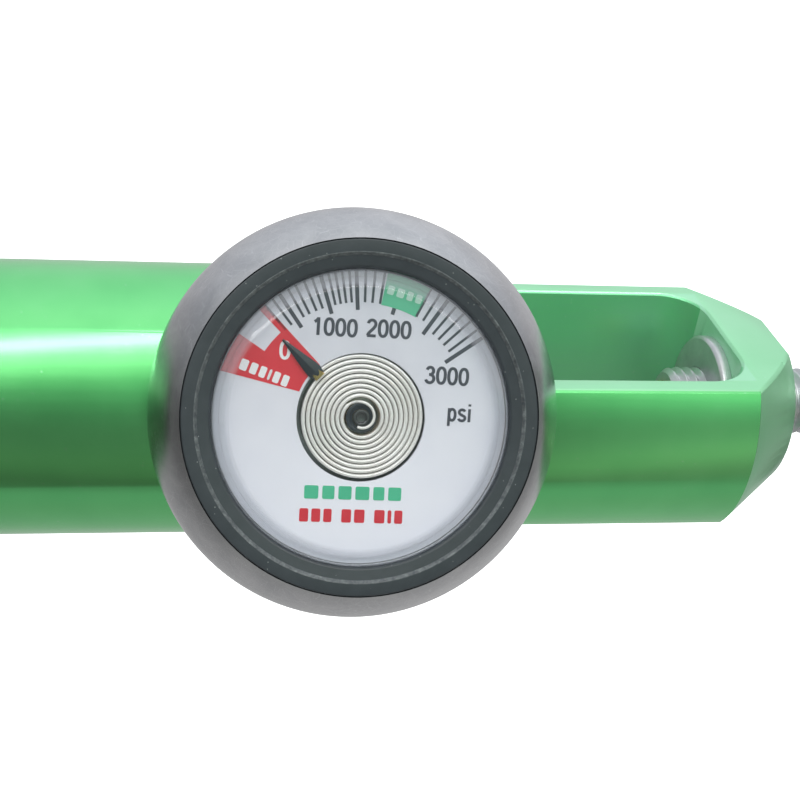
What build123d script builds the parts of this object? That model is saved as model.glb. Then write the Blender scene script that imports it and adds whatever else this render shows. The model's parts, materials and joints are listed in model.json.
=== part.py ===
from build123d import *
import os
from math import sin, cos, tan, pi, radians, sqrt, atan2, degrees

# Yoke-type medical oxygen pressure regulator with a contents gauge.
# Millimetres. X runs along the barrel from the flow selector knob to the clamp
# screw, Z is the direction in which a valve post passes through the yoke, and
# the origin is on the barrel axis at the sealing face of the inlet washer.

# ---------------------------------------------------------------- driving sizes
barrel_r = 19.0            # 38 mm (1.5 in) round bar
barrel_left = -78.4        # knob end of the barrel
wall_x = -2.4              # inner wall of the yoke, which carries nipple and pins
slot_end_x = 35.65         # end wall of the yoke slot
slot_half = 12.4           # half width of the slot, for a 22.2 mm (7/8 in) post
slot_corner_r = 6.3        # corner radius at the slot's end wall
flat_half = 11.5           # yoke flats are 23 mm apart
cone_x = 35.2              # the end chamfer starts here
end_x = 43.8               # end face of the yoke
end_r = 12.2               # end face radius
edge_break = 0.35          # broken edges of the yoke

gauge_x = -20.4            # gauge axis crosses the barrel axis here
gauge_tilt = 30.0          # gauge axis above the horizontal front direction, degrees
case_r = 23.9              # largest radius of the gauge case
rim_r = 19.8               # front rim of the gauge case
lens_r = 16.5
lens_face_r = 14.7
dial_r = 16.45
dial_hole_r = 7.2
h_case_back = 20.4         # heights are measured from the barrel axis
h_case_wide = 30.2
h_rim = 37.8
h_dial = 35.6
h_lens = 38.6
coil_r = 6.6
coil_pitch = 0.55
coil_wall = 0.30

bore_r = 14.4              # main bore for piston, port plate and end cap
piston_gap = 1.0           # seat opening with no pressure
run = 0.05                 # radial running clearance

screw_r = 5.0              # M10 x 1.5 clamp screw
screw_pitch = 1.5
tip_x = 26.0               # point of the clamp screw at rest
hub_x0, hub_x1 = 58.0, 72.0

nipple_r = 3.1
pin_circle_r = 14.29       # 9/16 in, pin-index circle
pin_angle = 18.0           # oxygen: positions 2 and 5
pin_r = 2.0
pin_shank_r = 1.6           # shank pressed into the body

barb_angle = -15.0         # directions round the barrel, degrees from +Y towards +Z
relief_angle = -60.0
outlet_x = -66.5

os.makedirs("parts", exist_ok=True)


def save(piece, name):
    piece.part.label = name
    export_step(piece.part, "parts/" + name + ".step")


def radial_plane(x, angle):
    # sketch plane through the barrel axis: local x along +X, local y outwards
    a = radians(angle)
    return Plane(origin=(x, 0, 0), x_dir=(1, 0, 0), z_dir=(0, -sin(a), cos(a)))


def radial_axis(x, angle):
    a = radians(angle)
    return Axis((x, 0, 0), (0, cos(a), sin(a)))


def cross_plane(x, angle):
    # plane whose normal is the radial direction, its origin on the barrel axis
    a = radians(angle)
    return Plane(origin=(x, 0, 0), x_dir=(1, 0, 0), z_dir=(0, cos(a), sin(a)))


gt = radians(gauge_tilt)
g_dir = (0, -cos(gt), sin(gt))
gauge_face = Plane(origin=(gauge_x, 0, 0), x_dir=(1, 0, 0), z_dir=g_dir)
gauge_half = Plane(origin=(gauge_x, 0, 0), x_dir=(1, 0, 0), z_dir=(0, -sin(gt), -cos(gt)))
gauge_axis = Axis((gauge_x, 0, 0), g_dir)


def at_height(h):
    return gauge_face.offset(h)


# ---------------------------------------------------------------- body and yoke
with BuildPart() as regulator_body:
    with BuildSketch(Plane.XZ):
        with BuildLine():
            Polyline((barrel_left, 0), (barrel_left, barrel_r - 0.8), (barrel_left + 0.8, barrel_r),
                     (cone_x, barrel_r), (end_x, end_r), (end_x, 0), close=True)
        make_face()
    revolve(axis=Axis.X)
    # yoke flats, milled from the inner wall to the end
    for s in (1, -1):
        with BuildSketch(Plane.XY.offset(s * flat_half)):
            with Locations(((wall_x + 60) / 2, 0)):
                Rectangle(60 - wall_x, 50)
        extrude(amount=s * 20, mode=Mode.SUBTRACT)
    # slot for the valve post
    with BuildSketch(Plane.XY.offset(-30)):
        with BuildLine():
            Polyline((wall_x, -slot_half), (slot_end_x, -slot_half), (slot_end_x, slot_half),
                     (wall_x, slot_half), close=True)
        make_face()
        fillet(vertices().sort_by(Axis.X)[2:], slot_corner_r)
    extrude(amount=60, mode=Mode.SUBTRACT)
    # round spot face that seats the bushing flange against the end wall
    with BuildSketch(Plane.YZ.offset(slot_end_x - 7)):
        Circle(10.0)
    extrude(amount=7, mode=Mode.SUBTRACT)
    # threaded bushing hole in the end wall
    with BuildSketch(Plane.YZ.offset(slot_end_x - 1)):
        Circle(8.0)
    extrude(amount=20, mode=Mode.SUBTRACT)
    # nipple thread, high-pressure passage, piston stem bore, main bore
    with BuildSketch(Plane.XZ):
        with BuildLine():
            Polyline((wall_x + 1, 0), (wall_x + 1, 5.5), (wall_x - 9, 5.5), (wall_x - 9, 1.5), (-24.4, 1.5),
                     (-24.4, 3.0 + run), (-38.4, 3.0 + run), (-38.4, bore_r), (barrel_left - 1, bore_r),
                     (barrel_left - 1, 0), close=True)
        make_face()
    revolve(axis=Axis.X, mode=Mode.SUBTRACT)
    # gauge port: spot face and counterbore, thread, drilled passage
    with BuildSketch(gauge_half):
        with BuildLine():
            Polyline((0, 0), (1.2, 0), (1.2, 8.0), (4.9, 8.0), (4.9, 14.6), (9.2, 14.6), (9.2, 22), (0, 22), close=True)
        make_face()
    revolve(axis=gauge_axis, mode=Mode.SUBTRACT)
    # outlet and relief ports into the outlet chamber
    with BuildSketch(radial_plane(outlet_x, barb_angle)):
        with BuildLine():
            Polyline((0, 9), (3.9, 9), (3.9, 17.4), (6.4, 17.4), (6.4, 22), (0, 22), close=True)
        make_face()
    revolve(axis=radial_axis(outlet_x, barb_angle), mode=Mode.SUBTRACT)
    with BuildSketch(radial_plane(outlet_x, relief_angle)):
        with BuildLine():
            Polyline((0, 9), (3.0, 9), (3.0, 17.6), (4.8, 17.6), (4.8, 22), (0, 22), close=True)
        make_face()
    revolve(axis=radial_axis(outlet_x, relief_angle), mode=Mode.SUBTRACT)
    # breather hole of the spring chamber
    with BuildSketch(radial_plane(-44.0, relief_angle)):
        with BuildLine():
            Polyline((0, 10), (0.8, 10), (0.8, 22), (0, 22), close=True)
        make_face()
    revolve(axis=radial_axis(-44.0, relief_angle), mode=Mode.SUBTRACT)
    # pin-index holes below the nipple
    with BuildSketch(Plane.YZ.offset(wall_x - 6.0)):
        for s in (1, -1):
            with Locations((s * pin_circle_r * sin(radians(pin_angle)), -pin_circle_r * cos(radians(pin_angle)))):
                Circle(pin_shank_r)
    extrude(amount=8, mode=Mode.SUBTRACT)
    # broken edges round the flats and the slot, and at the shoulder and the end face
    for z in (flat_half, -flat_half):
        rim = [e for e in edges().filter_by_position(Axis.Z, z - 0.01, z + 0.01) if abs((e @ 0.5).X - wall_x) > 0.05]
        chamfer(rim, edge_break)
save(regulator_body, "regulator_body")

# ---------------------------------------------------------------- inlet
with BuildPart() as inlet_nipple:
    with BuildSketch(Plane.XZ):
        with BuildLine():
            Polyline((wall_x - 9, 2.6), (wall_x - 9, 4.9), (wall_x - 8.4, 5.5), (wall_x, 5.5), (wall_x, 3.6), (0, 3.6),
                     (0, nipple_r), (3.2, nipple_r), (4.2, 2.3), (4.2, 1.3), (wall_x - 4.5, 1.3), (wall_x - 4.5, 2.6),
                     close=True)
        make_face()
    revolve(axis=Axis.X)
save(inlet_nipple, "inlet_nipple")

with BuildPart() as inlet_filter:
    with BuildSketch(Plane.XZ):
        with BuildLine():
            Polyline((wall_x - 9, 0), (wall_x - 9, 2.6), (wall_x - 4.5, 2.6), (wall_x - 4.5, 0), close=True)
        make_face()
    revolve(axis=Axis.X)
save(inlet_filter, "inlet_filter")

with BuildPart() as washer_gasket:
    with BuildSketch(Plane.YZ.offset(wall_x)):
        Circle(6.6)
        Circle(3.6, mode=Mode.SUBTRACT)
    extrude(amount=2.4)
save(washer_gasket, "washer_gasket")

with BuildPart() as washer_ring:
    with BuildSketch(Plane.YZ.offset(wall_x)):
        Circle(8.0)
        Circle(6.6, mode=Mode.SUBTRACT)
    extrude(amount=1.8)
    chamfer(faces().sort_by(Axis.X)[-1].edges().sort_by(SortBy.RADIUS)[-1], 0.3)
save(washer_ring, "washer_ring")

with BuildPart() as index_pins:
    with BuildSketch(Plane.YZ.offset(wall_x - 6.0)):
        for s in (1, -1):
            with Locations((s * pin_circle_r * sin(radians(pin_angle)), -pin_circle_r * cos(radians(pin_angle)))):
                Circle(pin_shank_r)
    extrude(amount=6.0)
    with BuildSketch(Plane.YZ.offset(wall_x)):
        for s in (1, -1):
            with Locations((s * pin_circle_r * sin(radians(pin_angle)), -pin_circle_r * cos(radians(pin_angle)))):
                Circle(pin_r)
    extrude(amount=5.6)
    chamfer(faces().group_by(Axis.X)[-1].edges(), 0.5)
save(index_pins, "index_pins")

# ---------------------------------------------------------------- reducing stage
with BuildPart() as nozzle_seat:
    with BuildSketch(Plane.XZ):
        with BuildLine():
            Polyline((-24.4, 0.7), (-24.4, 3.0 + run), (-26.8, 3.0 + run), (-26.8, 1.7), (-27.4, 1.2), (-27.4, 0.7), close=True)
        make_face()
    revolve(axis=Axis.X)
save(nozzle_seat, "nozzle_seat")

tip = -27.4 - piston_gap
with BuildPart() as piston:
    with BuildSketch(Plane.XZ):
        with BuildLine():
            # stem with an O-ring groove, head with an O-ring groove, hollow core
            Polyline((tip, 2.0), (tip, 2.7), (tip - 0.3, 3.0), (-33.4, 3.0), (-33.4, 2.0), (-35.6, 2.0), (-35.6, 3.0),
                     (-52.4, 3.0), (-52.4, bore_r - run), (-54.0, bore_r - run), (-54.0, 12.6), (-56.4, 12.6),
                     (-56.4, bore_r - run), (-57.9, bore_r - run), (-57.9, 1.1), (-30.4, 1.1), (-30.4, 2.0), close=True)
        make_face()
    revolve(axis=Axis.X)
    # cross drilling from the seat chamber into the hollow stem
    with BuildSketch(Plane.XY.offset(-4)):
        with Locations((-31.6, 0)):
            Circle(0.7)
    extrude(amount=8, mode=Mode.SUBTRACT)
save(piston, "piston")

with BuildPart() as seat_pad:
    with BuildSketch(Plane.YZ.offset(-30.4)):
        Circle(2.0)
    extrude(amount=tip + 30.4)
save(seat_pad, "seat_pad")

with BuildPart() as stem_oring:
    with BuildSketch(Plane.XZ):
        with Locations((-34.5, 2.5)):
            Circle(0.5)
    revolve(axis=Axis.X)
save(stem_oring, "stem_oring")

with BuildPart() as piston_oring:
    with BuildSketch(Plane.XZ):
        with Locations((-55.2, 13.48)):
            Circle(0.87)
    revolve(axis=Axis.X)
save(piston_oring, "piston_oring")

with BuildPart() as piston_spring:
    with BuildLine() as spring_line:
        Helix(pitch=3.4, height=12.0, radius=8.5, center=(-51.4, 0, 0), direction=(1, 0, 0))
    with BuildSketch(Plane(origin=spring_line.line @ 0, z_dir=spring_line.line % 0)):
        Circle(0.9)
    sweep()
save(piston_spring, "piston_spring")

# ---------------------------------------------------------------- flow selector
orifices = [0.25, 0.32, 0.38, 0.45, 0.52, 0.60, 0.68, 0.78, 0.90, 1.05, 1.20]
steps = 12

with BuildPart() as port_plate:
    with BuildSketch(Plane.XZ):
        with BuildLine():
            Polyline((-61.9, 1.55), (-61.9, bore_r), (-61.1, bore_r), (-61.1, 13.2), (-59.3, 13.2), (-59.3, bore_r),
                     (-58.4, bore_r), (-57.9, 13.6), (-57.9, 12.4), (-58.4, 12.0), (-58.4, 0), (-60.4, 0), (-60.4, 1.55), close=True)
        make_face()
    revolve(axis=Axis.X)
    with BuildSketch(Plane.YZ.offset(-63)):
        with Locations((0, 7.0)):
            Circle(1.4)
    extrude(amount=6, mode=Mode.SUBTRACT)
save(port_plate, "port_plate")

with BuildPart() as port_plate_oring:
    with BuildSketch(Plane.XZ):
        with Locations((-60.2, 13.8)):
            Circle(0.6)
    revolve(axis=Axis.X)
save(port_plate_oring, "port_plate_oring")

with BuildPart() as orifice_disc:
    with BuildSketch(Plane.YZ.offset(-64.4)):
        Circle(11.0)
        Circle(3.0, mode=Mode.SUBTRACT)
        for i, d in enumerate(orifices):
            a = radians(90 + (i + 1) * 360 / steps)
            with Locations((7.0 * cos(a), 7.0 * sin(a))):
                Circle(d / 2 + 0.15, mode=Mode.SUBTRACT)
    extrude(amount=2.45)
save(orifice_disc, "orifice_disc")

with BuildPart() as selector_shaft:
    with BuildSketch(Plane.XZ):
        with BuildLine():
            Polyline((-60.9, 0), (-60.9, 1.5), (-61.95, 1.5), (-61.95, 3.0), (-73.2, 3.0), (-73.2, 2.1), (-75.4, 2.1),
                     (-75.4, 3.0), (-92.0, 3.0), (-92.0, 1.25), (-82.0, 1.25), (-82.0, 0), close=True)
        make_face()
    revolve(axis=Axis.X)
    # drive flat for the knob
    with BuildSketch(Plane.XY.offset(2.2)):
        with Locations((-88.0, 0)):
            Rectangle(14, 10)
    extrude(amount=3, mode=Mode.SUBTRACT)
save(selector_shaft, "selector_shaft")

with BuildPart() as shaft_oring:
    with BuildSketch(Plane.XZ):
        with Locations((-74.3, 2.575)):
            Circle(0.46)
    revolve(axis=Axis.X)
save(shaft_oring, "shaft_oring")

detent_y = 10.0
with BuildPart() as end_cap:
    with BuildSketch(Plane.XZ):
        with BuildLine():
            Polyline((-70.9, 3.0 + run), (-70.9, bore_r), (-71.9, bore_r), (-71.9, 13.2), (-73.7, 13.2), (-73.7, bore_r),
                     (-77.5, bore_r), (-78.2, bore_r - 0.7), (-78.2, 3.0 + run), close=True)
        make_face()
    revolve(axis=Axis.X)
    with BuildSketch(Plane.YZ.offset(-78.7)):
        with Locations((detent_y, 0)):
            Circle(1.5 + run)
    extrude(amount=6.5, mode=Mode.SUBTRACT)
    # two spanner holes
    with BuildSketch(Plane.YZ.offset(-78.5)):
        with Locations((0, 7.5), (0, -7.5)):
            Circle(1.2)
    extrude(amount=3.1, mode=Mode.SUBTRACT)
save(end_cap, "end_cap")

with BuildPart() as end_cap_oring:
    with BuildSketch(Plane.XZ):
        with Locations((-72.8, 13.8)):
            Circle(0.6)
    revolve(axis=Axis.X)
save(end_cap_oring, "end_cap_oring")

with BuildPart() as detent_ball:
    with BuildSketch(Plane(origin=(-77.9, detent_y, 0), x_dir=(1, 0, 0), z_dir=(0, 0, 1))):
        with BuildLine():
            CenterArc((0, 0), 1.5, 0, 180)
            Line((-1.5, 0), (1.5, 0))
        make_face()
    revolve(axis=Axis((-77.9, detent_y, 0), (1, 0, 0)))
save(detent_ball, "detent_ball")

with BuildPart() as detent_spring:
    with BuildLine() as spring_line:
        Helix(pitch=0.8, height=3.4, radius=1.2, center=(-76.2, detent_y, 0), direction=(1, 0, 0))
    with BuildSketch(Plane(origin=spring_line.line @ 0, z_dir=spring_line.line % 0)):
        Circle(0.2)
    sweep()
save(detent_spring, "detent_spring")

with BuildPart() as selector_knob:
    with BuildSketch(Plane.XZ):
        with BuildLine():
            Polyline((-79.0, 3.0), (-79.0, 8.2), (-79.5, 8.2), (-79.5, 11.8), (-79.0, 11.8), (-79.0, 18.2), (-79.8, 19.0),
                     (-94.0, 19.0), (-96.0, 17.0), (-96.0, 14.0), (-95.2, 14.0), (-95.2, 5.2), (-92.2, 5.2), (-92.2, 3.0),
                     close=True)
        make_face()
    revolve(axis=Axis.X)
    # drive flat matching the shaft
    with BuildSketch(Plane.XY.offset(2.2)):
        with Locations((-87.1, 0)):
            Rectangle(10.2, 5.6)
    extrude(amount=1.2, mode=Mode.ADD)
    # detent dimples in the floor of the ring groove
    with BuildSketch(Plane.YZ.offset(-80.1)):
        with PolarLocations(detent_y, steps):
            Circle(1.0)
    extrude(amount=1.0, mode=Mode.SUBTRACT)
    # finger flutes
    with BuildSketch(Plane.YZ.offset(-97)):
        with PolarLocations(20.9, 18, start_angle=10):
            Circle(2.9)
    extrude(amount=15.2, mode=Mode.SUBTRACT)
save(selector_knob, "selector_knob")

with BuildPart() as knob_screw:
    with BuildSketch(Plane.XZ):
        with BuildLine():
            Polyline((-84.0, 0), (-84.0, 1.25), (-92.2, 1.25), (-92.2, 3.6), (-93.6, 4.0), (-94.4, 3.4), (-94.4, 0), close=True)
        make_face()
    revolve(axis=Axis.X)
    with BuildSketch(Plane.YZ.offset(-95)):
        RegularPolygon(1.5, 6)
    extrude(amount=1.8, mode=Mode.SUBTRACT)
save(knob_screw, "knob_screw")

with BuildPart() as flow_scale_disc:
    with BuildSketch(Plane.YZ.offset(-95.8)):
        Circle(14.0)
        Circle(5.2, mode=Mode.SUBTRACT)
    extrude(amount=0.6)
save(flow_scale_disc, "flow_scale_disc")

# ---------------------------------------------------------------- outlet barb
with BuildPart() as outlet_barb:
    with BuildSketch(radial_plane(outlet_x, barb_angle)):
        with BuildLine():
            pts = [(1.6, 13.6), (3.9, 13.6), (3.9, 17.2), (2.9, 17.2), (2.9, 18.3), (4.9, 18.3), (4.9, 21.4),
                   (4.5, 22.2), (2.7, 22.2), (2.7, 24.0)]
            y = 24.0
            for i in range(4):
                pts += [(3.5, y), (3.5, y + 0.8), (2.7, y + 3.0)]
                if i < 3:
                    pts += [(2.7, y + 3.6)]
                y += 3.6
            pts += [(2.4, y + 0.2), (1.6, y + 0.2)]
            Polyline(*pts, close=True)
        make_face()
    revolve(axis=radial_axis(outlet_x, barb_angle))
    # wrench hexagon
    with BuildSketch(cross_plane(outlet_x, barb_angle).offset(18.3)):
        RegularPolygon(5.9, 6)
        Circle(3.0, mode=Mode.SUBTRACT)
    extrude(amount=3.1)
save(outlet_barb, "outlet_barb")

with BuildPart() as barb_oring:
    with BuildSketch(radial_plane(outlet_x, barb_angle)):
        with Locations((3.4, 17.85)):
            Circle(0.4)
    revolve(axis=radial_axis(outlet_x, barb_angle))
save(barb_oring, "barb_oring")

# ---------------------------------------------------------------- relief valve
with BuildPart() as relief_body:
    with BuildSketch(radial_plane(outlet_x, relief_angle)):
        with BuildLine():
            Polyline((1.0, 13.8), (3.0, 13.8), (3.0, 17.6), (4.5, 17.6), (4.5, 24.0), (3.4, 24.0), (3.4, 18.6), (1.0, 18.6), close=True)
        make_face()
    revolve(axis=radial_axis(outlet_x, relief_angle))
save(relief_body, "relief_body")

with BuildPart() as relief_poppet:
    with BuildSketch(radial_plane(outlet_x, relief_angle)):
        with BuildLine():
            Polyline((0, 18.6), (2.4, 18.6), (2.4, 19.7), (1.0, 19.7), (1.0, 22.0), (0, 22.0), close=True)
        make_face()
    revolve(axis=radial_axis(outlet_x, relief_angle))
save(relief_poppet, "relief_poppet")

with BuildPart() as relief_spring:
    a = radians(relief_angle)
    base = (outlet_x, 20.0 * cos(a), 20.0 * sin(a))
    with BuildLine() as spring_line:
        Helix(pitch=0.9, height=3.0, radius=1.9, center=base, direction=(0, cos(a), sin(a)))
    with BuildSketch(Plane(origin=spring_line.line @ 0, z_dir=spring_line.line % 0)):
        Circle(0.25)
    sweep()
save(relief_spring, "relief_spring")

with BuildPart() as relief_cap:
    with BuildSketch(radial_plane(outlet_x, relief_angle)):
        with BuildLine():
            Polyline((1.2, 23.4), (3.4, 23.4), (3.4, 24.0), (4.5, 24.0), (4.5, 25.0), (4.0, 25.5), (1.2, 25.5), close=True)
        make_face()
    revolve(axis=radial_axis(outlet_x, relief_angle))
save(relief_cap, "relief_cap")

# ---------------------------------------------------------------- contents gauge
with BuildPart() as gauge_stem:
    with BuildSketch(gauge_half):
        with BuildLine():
            Polyline((1.2, 8.2), (4.4, 8.2), (4.9, 8.8), (4.9, 17.0), (5.6, 17.0), (5.6, h_case_back), (3.6, h_case_back),
                     (3.6, 22.0), (6.0, 22.0), (6.0, 23.6), (1.7, 23.6), (1.7, 35.4), (0, 35.4), (0, 34.0), (0.5, 34.0), (0.5, 18.0),
                     (1.2, 17.4), close=True)
        make_face()
    revolve(axis=gauge_axis)
    # wrench hexagon
    with BuildSketch(at_height(17.0)):
        RegularPolygon(8.1, 6)
        Circle(5.0, mode=Mode.SUBTRACT)
    extrude(amount=h_case_back - 17.0)
save(gauge_stem, "gauge_stem")

with BuildPart() as gauge_oring:
    with BuildSketch(gauge_half):
        with Locations((5.95, 15.8)):
            Circle(1.05)
    revolve(axis=gauge_axis)
save(gauge_oring, "gauge_oring")

with BuildPart() as gauge_case:
    with BuildSketch(gauge_half):
        with BuildLine():
            Line((3.6, 22.0), (3.6, h_case_back))
            Line((3.6, h_case_back), (17.6, h_case_back))
            Spline((17.6, h_case_back), (19.4, 21.2), (20.2, 23.0), tangents=[(1, 0), (0, 1)])
            Line((20.2, 23.0), (20.2, 26.4))
            Spline((20.2, 26.4), (21.7, 27.4), (case_r - 0.35, 28.7), (case_r, h_case_wide - 0.2), (22.9, 33.2), (rim_r, h_rim),
                   tangents=[(0.4, 1), (-1, 1.0)])
            Line((rim_r, h_rim), (rim_r - 0.1, 37.5))
            Polyline((rim_r - 0.1, 37.5), (rim_r - 0.1, 33.65), (18.8, 33.65), (18.8, 23.6), (17.2, 22.0), (3.6, 22.0))
        make_face()
    revolve(axis=gauge_axis)
save(gauge_case, "gauge_case")

with BuildPart() as dial_support:
    # plain tube with an outward flange that carries the bezel ring and the dial
    with BuildSketch(at_height(22.0)):
        Circle(15.35)
        Circle(14.2, mode=Mode.SUBTRACT)
    extrude(amount=13.0)
    with BuildSketch(at_height(33.7)):
        Circle(19.6)
        Circle(15.0, mode=Mode.SUBTRACT)
    extrude(amount=0.8)
save(dial_support, "dial_support")

with BuildPart() as movement_plate:
    with BuildSketch(at_height(30.4)):
        Circle(14.2)
        Circle(1.7, mode=Mode.SUBTRACT)
    extrude(amount=1.2)
save(movement_plate, "movement_plate")

# spiral pressure tube: a flat spiral ribbon built from half-turn arcs
coil_inner = 1.75
half_turns = 17
with BuildPart() as bourdon_coil:
    with BuildSketch(at_height(32.4)):
        with BuildLine():
            c, s = 0.0, 1
            for k in range(half_turns):
                ro = coil_inner + coil_wall + k * coil_pitch / 2
                CenterArc((c, 0), ro, 0 if s > 0 else 180, 180)
                last = (c - s * ro, 0)
                last_in = (c - s * (ro - coil_wall), 0)
                c = c + s * coil_pitch / 2
                s = -s
            Line(last, last_in)
            c, s = 0.0, 1
            for k in range(half_turns):
                ri = coil_inner + k * coil_pitch / 2
                CenterArc((c, 0), ri, 0 if s > 0 else 180, 180)
                c = c + s * coil_pitch / 2
                s = -s
            Line((coil_inner, 0), (coil_inner + coil_wall, 0))
        make_face()
    extrude(amount=3.0)
save(bourdon_coil, "bourdon_coil")

with BuildPart() as coil_hub_cap:
    with BuildSketch(gauge_half):
        with BuildLine():
            Polyline((0, 35.4), (1.72, 35.4), (1.72, 35.75), (1.5, 35.9), (1.15, 35.9), (1.05, 35.8), (0, 35.8), close=True)
        make_face()
    revolve(axis=gauge_axis)
save(coil_hub_cap, "coil_hub_cap")

with BuildPart() as dial_plate:
    with BuildSketch(at_height(35.0)):
        Circle(dial_r)
        Circle(dial_hole_r, mode=Mode.SUBTRACT)
    extrude(amount=h_dial - 35.0)
save(dial_plate, "dial_plate")

pointer_angle = 135.6      # pointer at zero, anticlockwise from +X seen from the front
pa = radians(pointer_angle)
with BuildPart() as gauge_pointer:
    with BuildSketch(Plane(origin=at_height(35.85).origin, x_dir=gauge_face.x_dir, z_dir=gauge_face.z_dir)):
        with BuildLine():
            ca, sa = cos(pa), sin(pa)
            def pt(r, w):
                return (r * ca - w * sa, r * sa + w * ca)
            Polyline(pt(6.72, 0.85), pt(6.72, -0.85), pt(12.3, -0.16), pt(12.3, 0.16), close=True)
        make_face()
    extrude(amount=0.3)
    # clip that grips the free end of the spiral tube
    with BuildSketch(at_height(33.2)):
        with BuildLine():
            Polyline(pt(6.72, 0.6), pt(6.72, -0.6), pt(7.06, -0.5), pt(7.06, 0.5), close=True)
        make_face()
    extrude(amount=2.65)
save(gauge_pointer, "gauge_pointer")

with BuildPart() as gauge_bezel:
    with BuildSketch(gauge_half):
        with BuildLine():
            Polyline((16.55, 34.5), (19.65, 34.5), (19.65, 37.6), (19.3, 37.75), (18.15, 37.75), (17.95, 37.55), (16.75, 37.35),
                     (16.55, 37.15), close=True)
        make_face()
    revolve(axis=gauge_axis)
save(gauge_bezel, "gauge_bezel")

with BuildPart() as gauge_lens:
    with BuildSketch(gauge_half):
        with BuildLine():
            Polyline((15.7, h_dial), (lens_r, h_dial), (lens_r, 37.0), (16.2, 37.5), (lens_face_r + 0.25, h_lens - 0.35), (lens_face_r - 0.25, h_lens - 0.1),
                     (10.0, h_lens), (0, h_lens), (0, 36.9), (14.6, 36.9), (15.7, 36.2), close=True)
        make_face()
    revolve(axis=gauge_axis)
save(gauge_lens, "gauge_lens")

# ---------------------------------------------------------------- yoke clamp
with BuildPart() as thread_bushing:
    with BuildSketch(Plane.XZ):
        with BuildLine():
            Polyline((slot_end_x - 1.6, screw_r + run), (slot_end_x - 1.6, 9.4), (slot_end_x - 1.2, 9.8), (slot_end_x, 9.8),
                     (slot_end_x, 8.0), (end_x, 8.0), (end_x + 0.6, 7.4), (end_x + 0.6, screw_r + run), close=True)
        make_face()
    revolve(axis=Axis.X)
save(thread_bushing, "thread_bushing")

with BuildPart() as clamp_screw:
    with BuildSketch(Plane.XZ):
        with BuildLine():
            Polyline((29.0, 1.55), (29.0, 4.2), (29.8, screw_r), (hub_x1, screw_r), (hub_x1, 0), (32.2, 0), (32.2, 1.55), close=True)
        make_face()
    revolve(axis=Axis.X)
    # cross hole for the handle pin
    with BuildSketch(Plane.XZ.offset(-8)):
        with Locations(((hub_x0 + hub_x1) / 2, 0)):
            Circle(1.5)
    extrude(amount=16, mode=Mode.SUBTRACT)
save(clamp_screw, "clamp_screw")

with BuildPart() as clamp_tip:
    with BuildSketch(Plane.XZ):
        with BuildLine():
            Polyline((tip_x, 0), (tip_x, 0.7), (tip_x + 0.3, 1.1), (28.2, 3.0), (28.95, 3.0), (28.95, 1.5), (32.1, 1.5), (32.1, 0), close=True)
        make_face()
    revolve(axis=Axis.X)
save(clamp_tip, "clamp_tip")

with BuildPart() as t_handle:
    with BuildSketch(Plane.XZ):
        with BuildLine():
            Polyline((hub_x0, screw_r), (hub_x0, 7.0), (hub_x0 + 1, 8.0), (hub_x1 - 1.5, 8.0), (hub_x1 + 1.2, 5.6), (hub_x1 + 1.2, 0),
                     (hub_x1, 0), (hub_x1, screw_r), close=True)
        make_face()
    revolve(axis=Axis.X)
    # two tapered arms with rounded ends
    for s in (1, -1):
        with BuildSketch(Plane.XY.offset(s * 6.2)) as root_section:
            with Locations(((hub_x0 + hub_x1) / 2 + 0.3, 0)):
                Ellipse(5.6, 4.6)
        with BuildSketch(Plane.XY.offset(s * 15.0)):
            with Locations(((hub_x0 + hub_x1) / 2 + 0.8, 0)):
                Ellipse(4.2, 3.4)
        with BuildSketch(Plane.XY.offset(s * 24.0)):
            with Locations(((hub_x0 + hub_x1) / 2 + 1.4, 0)):
                Ellipse(4.9, 4.1)
        with BuildSketch(Plane.XY.offset(s * 27.0)):
            with Locations(((hub_x0 + hub_x1) / 2 + 1.6, 0)):
                Ellipse(2.8, 2.3)
        loft()
    # bore for the screw, re-cut through the arm roots, and the pin hole
    with BuildSketch(Plane.YZ.offset(hub_x0 - 1)):
        Circle(screw_r)
    extrude(amount=hub_x1 - hub_x0 + 1, mode=Mode.SUBTRACT)
    with BuildSketch(Plane.XZ.offset(-10)):
        with Locations(((hub_x0 + hub_x1) / 2, 0)):
            Circle(1.5)
    extrude(amount=20, mode=Mode.SUBTRACT)
save(t_handle, "t_handle")

with BuildPart() as handle_pin:
    with BuildSketch(Plane.XZ.offset(-7.6)):
        with Locations(((hub_x0 + hub_x1) / 2, 0)):
            Circle(1.5)
            Circle(0.6, mode=Mode.SUBTRACT)
    extrude(amount=15.2)
save(handle_pin, "handle_pin")
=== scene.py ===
import json
import math
import bpy
import bmesh
from mathutils import Matrix, Vector


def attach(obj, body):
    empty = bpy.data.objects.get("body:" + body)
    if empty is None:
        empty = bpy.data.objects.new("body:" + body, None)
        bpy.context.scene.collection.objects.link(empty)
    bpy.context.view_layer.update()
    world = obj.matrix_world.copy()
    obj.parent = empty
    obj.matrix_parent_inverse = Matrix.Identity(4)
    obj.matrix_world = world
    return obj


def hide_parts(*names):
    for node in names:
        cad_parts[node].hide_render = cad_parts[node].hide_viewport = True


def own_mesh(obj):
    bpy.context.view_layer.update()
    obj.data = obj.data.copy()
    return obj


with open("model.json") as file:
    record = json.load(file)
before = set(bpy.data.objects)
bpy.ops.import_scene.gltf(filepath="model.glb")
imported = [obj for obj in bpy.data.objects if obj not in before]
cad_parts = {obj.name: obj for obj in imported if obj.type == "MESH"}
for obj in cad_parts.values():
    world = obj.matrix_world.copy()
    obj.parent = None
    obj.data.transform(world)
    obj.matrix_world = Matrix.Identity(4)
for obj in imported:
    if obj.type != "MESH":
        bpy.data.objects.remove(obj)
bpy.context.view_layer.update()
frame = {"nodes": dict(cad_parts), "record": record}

scene = bpy.context.scene
MM = 0.001

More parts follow.
